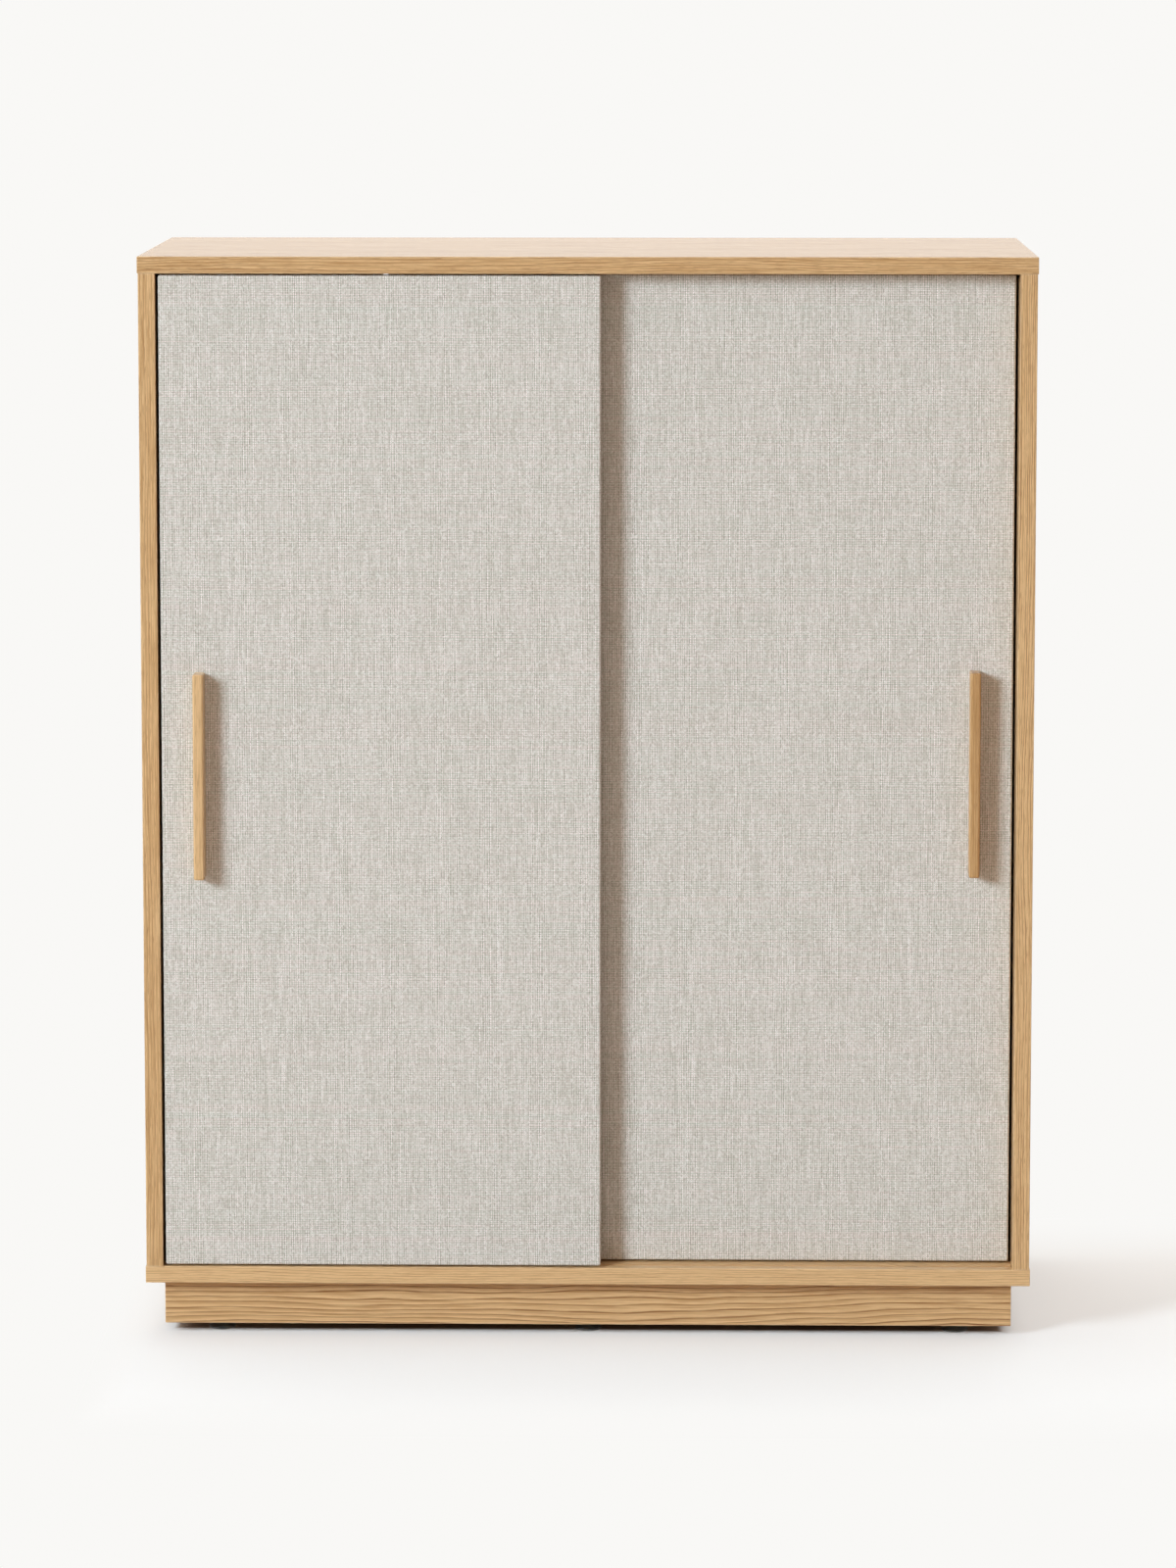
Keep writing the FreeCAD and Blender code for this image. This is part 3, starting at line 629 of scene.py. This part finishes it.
def stretched_cloth(side):
    """The cloth of one door as a mesh object, with its flat cut as a map."""
    low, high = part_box(f"{side}_door_fabric")
    housings_low, housings_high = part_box(f"{side}_door_roller_housings")
    slit_width = housing_length + 2 * slit_play
    slit_start = housings_low.x - slit_play
    slit_end = housings_high.x + slit_play
    slits = [(slit_start, slit_start + slit_width), (slit_end - slit_width, slit_end)]
    cloth = bmesh.new()
    bmesh.ops.create_cube(cloth, size=1.0, matrix=Matrix.LocRotScale((low + high) / 2, None, high - low))
    bmesh.ops.bevel(cloth, geom=cloth.edges[:], offset=cloth_round, segments=4, profile=0.5,
                    affect="EDGES", material=-1)
    back = max(cloth.faces, key=lambda face: face.calc_center_median().y)
    bmesh.ops.inset_region(cloth, faces=[back], thickness=cloth_fold - cloth_round)
    bmesh.ops.delete(cloth, geom=[back], context="FACES")
    cuts = [((edge, 0, 0), (1, 0, 0)) for slit in slits for edge in slit]
    cuts.append(((0, housings_low.y, 0), (0, 1, 0)))
    for place, facing in cuts:
        bmesh.ops.bisect_plane(cloth, geom=cloth.verts[:] + cloth.edges[:] + cloth.faces[:],
                               plane_co=place, plane_no=facing)
    slit_faces = []
    for face in cloth.faces:
        heart = face.calc_center_median()
        at_wheel = any(start < heart.x < end for start, end in slits)
        if at_wheel and heart.y > housings_low.y and heart.z < low.z + cloth_fold + slit_spare:
            slit_faces.append(face)
    bmesh.ops.delete(cloth, geom=slit_faces, context="FACES")
    cut = cloth.loops.layers.uv.new("cut")
    for face in cloth.faces:
        face.smooth = face.calc_area() < round_face_area
        for loop in face.loops:
            loop[cut].uv = cut_place(loop.vert.co, face, low, high)
    piece = placed(f"{side}_door_cloth", cloth)
    wall = piece.modifiers.new("cloth thickness", "SOLIDIFY")
    wall.thickness = cloth_thickness
    wall.offset = -1.0
    return piece


def thread_back(count):
    """How high the round back of a thread stands, from 0 at its sides to 1, by the count of threads."""
    off_middle = count - math.floor(count) - 0.5
    return 1 - 4 * off_middle * off_middle


linen, at = finish("slub linen")
across, up = parts(at.node("UVMap", {"uv_map": "cut"}))[:2]
warp_drift = streaks(up, across, length=0.11, width=0.006, seed=3.6, detail=1.0)
weft_drift = streaks(across, up, length=0.09, width=0.006, seed=7.9, detail=1.0)
warp = across / warp_pitch + warp_wander * warp_drift
weft = up / weft_pitch + weft_wander * weft_drift
warp_thread = math.floor(warp)
weft_thread = math.floor(weft)
warp_back = thread_back(warp)
weft_back = thread_back(weft)
warp_over = (warp_thread + weft_thread) % 2.0
warp_height = warp_back * (0.55 + 0.45 * warp_over * weft_back)
weft_height = weft_back * (0.3 + 0.6 * (1 - warp_over) * warp_back)
weave_height = at.math("MAXIMUM", warp_height, weft_height)
warp_shows = ramp(warp_height - weft_height, -0.1, 0.1)
warp_tone = streaks(up, warp_thread, length=0.026, width=0.4, seed=2.1, detail=1.0)
weft_tone = streaks(across, weft_thread, length=0.030, width=0.45, seed=5.3, detail=1.0)
warp_slub = ramp(streaks(up, warp_thread, length=0.06, width=0.45, seed=8.4, detail=1.0), 0.6, 0.72)
weft_slub = ramp(streaks(across, weft_thread, length=0.05, width=0.45, seed=6.2, detail=1.0), 0.62, 0.74)
nub = streaks(up, warp_thread, length=0.0026, width=0.4, seed=4.2, detail=1.0)
fleck = ramp(streaks(up, warp_thread, length=0.03, width=0.4, seed=9.4, detail=1.0), 0.35, 0.65)
warp_yarn = mixed(0.6 * (warp_thread % 2.0) + 0.4 * fleck, warp_white, warp_grey)
warp_yarn = mixed(ramp(warp_tone, 0.6, 0.34) * 0.25, warp_yarn, warp_shade)
warp_yarn = mixed(warp_slub * 0.45, warp_yarn, warp_slub_white)
weft_yarn = mixed(chance(weft_thread, 0.7), weft_rose, weft_grey)
weft_yarn = mixed(0.65 + 0.35 * ramp(weft_tone, 0.3, 0.7), weft_shade, weft_yarn)
weft_yarn = mixed(weft_slub * 0.3, weft_yarn, weft_slub_white)
yarn = mixed(warp_shows, weft_yarn, warp_yarn)
yarn = mixed(ramp(nub, 0.5, 0.75) * 0.5, yarn, nub_white)
yarn = mixed(ramp(nub, 0.5, 0.25) * 0.46, yarn, nub_brown)
# Painted shade: the yarn colour darkens in the low hollows between the threads.
hollow = 1 - ramp(weave_height, 0.25, 0.8)
surface(linen, {
    "Base Color": mixed(hollow * 0.3, yarn, painted_hollow_shade),
    "Roughness": 0.82 + 0.12 * hollow,
    "Sheen Weight": 0.12,
    "Sheen Roughness": 0.5,
    "Specular IOR Level": 0.25,
    "Normal": relief(weave_height + 0.25 * warp_slub * warp_shows, depth=0.0002, strength=0.7),
})

for side in sides:
    cloth = stretched_cloth(side)
    cloth.data.materials.append(linen)
    low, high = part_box(f"{side}_door_fabric")
    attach(cloth, f"{side}_door")
    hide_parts(f"{side}_door_fabric")


# Staples: flat zinc wire driven through the folded border into the fibreboard, all round each door.
# They leave the rollers and the guides free.

staple_step = 0.055
staple_length = 0.010
staple_thickness = 0.0007
staple_width = 1.6 * staple_thickness
staple_round = 0.0002
staple_margin = 0.010
staple_inset = cloth_fold - staple_margin
fitting_height = 0.05
guide_width = 0.030
wheel_room = 0.032
guide_room = 0.026


def near_pair(x, pair, width, room):
    """Whether a place along a door is this near to the middle of either fitting of a pair."""
    low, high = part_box(pair)
    return min(abs(x - low.x - width / 2), abs(x - high.x + width / 2)) < room


for side in sides:
    low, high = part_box(f"{side}_door_fabric")
    width = high.x - low.x - 2 * staple_inset
    height = high.z - low.z - 2 * staple_inset
    across_count = round(width / staple_step)
    up_count = round(height / staple_step)
    places = []
    for k in range(across_count):
        x = low.x + staple_inset + (k + 0.5) * width / across_count
        places += [(x, low.z + staple_inset, 0.0), (x, high.z - staple_inset, 0.0)]
    for k in range(up_count):
        z = low.z + staple_inset + (k + 0.5) * height / up_count
        places += [(low.x + staple_inset, z, math.pi / 2), (high.x - staple_inset, z, math.pi / 2)]
    row = bmesh.new()
    for x, z, turn in places:
        at_wheel = near_pair(x, f"{side}_door_roller_housings", housing_length, wheel_room)
        at_guide = near_pair(x, f"{side}_door_top_guides", guide_width, guide_room)
        if (at_wheel and z < low.z + fitting_height) or (at_guide and z > high.z - fitting_height):
            continue
        seat = Matrix.Translation((x, high.y, z)) @ Matrix.Rotation(turn, 4, "Y")
        wire_size = Matrix.Diagonal((staple_length, staple_thickness, staple_width, 1.0))
        wire = bmesh.ops.create_cube(row, size=1.0, matrix=seat @ wire_size)
        corners = {edge for vertex in wire["verts"] for edge in vertex.link_edges}
        bmesh.ops.bevel(row, geom=list(corners), offset=staple_round, segments=1, profile=0.5,
                        affect="EDGES", material=-1)
    staples = placed(f"{side}_door_staples", row)
    staples.data.materials.append(zinc)
    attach(staples, f"{side}_door")


# Studio floor: a pale seamless sheet that runs out to white and keeps the cabinet's soft shadow.
# A painted shadow darkens it in the low gap under the plinth, and it throws a warm light back on the
# cabinet.

studio_white = (0.947, 0.939, 0.921, 1.0)
floor_half = 30.0
floor_lit = (0.94, 0.95, 0.965, 1.0)
floor_painted_shadow = (0.42, 0.33, 0.27, 1.0)
floor_bounce = (0.54, 0.47, 0.41, 1.0)
floor_glow = 0.42
fade_left = (-0.45, -0.55)
fade_right = (0.78, 1.08)
fade_front = (-0.28, -0.62)
fade_back = (0.0, 0.42)
glow_edge = (-0.032, -0.008)
painted_shadow_edge = (-0.031, -0.023)
painted_shadow_past_ends = 0.017

floor_shape = bmesh.new()
bmesh.ops.create_grid(floor_shape, x_segments=1, y_segments=1, size=floor_half)
floor = placed("floor", floor_shape)

plinth_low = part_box("plinth_front_rail")[0]
plinth_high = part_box("plinth_back_rail")[1]
plinth_middle = (plinth_low + plinth_high) / 2
plinth_half = (plinth_high - plinth_low) / 2
pale_floor, at = finish("pale floor")
x, y = parts(at)[:2]
beside = ramp(x, *fade_left) + ramp(x, *fade_right)
before_or_behind = at.math("MAXIMUM", ramp(y, *fade_front), ramp(y, *fade_back))
away = at.math("MAXIMUM", beside, before_or_behind)
clear_x = abs(x) - (plinth_half.x + painted_shadow_past_ends)
clear_y = abs(y - plinth_middle.y) - plinth_half.y
clear = at.math("MAXIMUM", clear_x, clear_y)
run_out = at.math("MAXIMUM", away, floor_glow) * ramp(clear, *glow_edge)
ray = at.node("LightPath", out="Is Camera Ray")
seen = at.math("MAXIMUM", ray, at.node("LightPath", out="Is Glossy Ray"))
bounce = at.node("BsdfDiffuse", {}, {"Color": floor_bounce})
# Painted shadow: under the plinth and a little past its ends, the floor's colour turns dark.
near = at.node("BsdfDiffuse", {}, {"Color": mixed(ramp(clear, *painted_shadow_edge), floor_painted_shadow, floor_lit)})
far = at.node("Emission", {}, {"Color": studio_white, "Strength": 1.0})
shown = at.node("MixShader", {}, {0: run_out, 1: near, 2: far})
whole = at.node("MixShader", {}, {0: seen, 1: bounce, 2: shown})
at.wire(pale_floor.node_tree.nodes["Material Output"], {"Surface": whole})
floor.data.materials.append(pale_floor)


# Studio backdrop: plain white to the eye and in reflections, with no edges.
# As light it is a dim warm fill from the front and a brighter one from behind.

front_fill = (0.385, 0.285, 0.22, 1.0)
back_fill = (1.10, 1.09, 1.06, 1.0)
fill_turn = (0.25, -0.25)

world = bpy.data.worlds.new("studio")
world.use_nodes = True
bpy.context.scene.world = world
sky = Tone(world.node_tree)
ray = sky.node("LightPath", out="Is Camera Ray")
mirror = sky.math("MAXIMUM", ray, sky.node("LightPath", out="Is Glossy Ray"))
seen = sky.math("MAXIMUM", mirror, sky.node("LightPath", out="Is Transmission Ray"))
from_front = ramp(parts(sky.node("TexCoord", out="Generated"))[1], *fill_turn)
fill = mixed(from_front, back_fill, front_fill)
sky.wire(world.node_tree.nodes["Background"], {"Color": mixed(seen, fill, studio_white), "Strength": 1.0})


# Lamps: a cool key in a round softbox at the front left, and a round softbox overhead.
# The key keeps its strength over the distance, and doesn't show in the lacquer.

key_place = Vector((-3.95, -4.10, 2.50))
key_aim = Vector((0.0, -0.2, 0.6))
overhead_place = Vector((0.0, 0.6, 4.5))


def softbox(name, place, size, watts, colour):
    """A round lamp that shines straight down until it is turned."""
    lamp = bpy.data.objects.new(name, bpy.data.lights.new(name, "AREA"))
    lamp.data.shape = "DISK"
    lamp.data.size = size
    lamp.data.energy = watts
    lamp.data.color = colour
    lamp.location = place
    bpy.context.scene.collection.objects.link(lamp)
    return lamp


key = softbox("key", key_place, size=1.9, watts=9.0, colour=(0.775, 0.905, 1.0))
key.rotation_euler = (key_place - key_aim).to_track_quat("Z", "Y").to_euler()
key.visible_glossy = False
key.data.use_nodes = True
beam = Tone(key.data.node_tree)
even = beam.node("LightFalloff", {}, {"Strength": 1.0}, out="Constant")
beam.wire(key.data.node_tree.nodes["Emission"], {"Strength": even})
softbox("overhead", overhead_place, size=2.5, watts=44.0, colour=(1.0, 0.99, 0.93))


# Camera: where the photograph was taken from, in front, a little to the right and above.
# A long lens looks slightly down, and its frame is shifted to leave the floor in view.

camera_place = (0.1081, -6.2856, 1.5570)
camera_dip = 6.3558
camera_turn = 1.0089

camera = bpy.data.objects.new("camera", bpy.data.cameras.new("camera"))
camera.location = camera_place
camera.rotation_euler = (math.radians(90 - camera_dip), 0.0, math.radians(camera_turn))
camera.data.sensor_width = 36.0
camera.data.lens = 126.194
camera.data.shift_y = -0.1375
bpy.context.scene.collection.objects.link(camera)
bpy.context.scene.camera = camera
bpy.context.scene.view_settings.view_transform = "Standard"
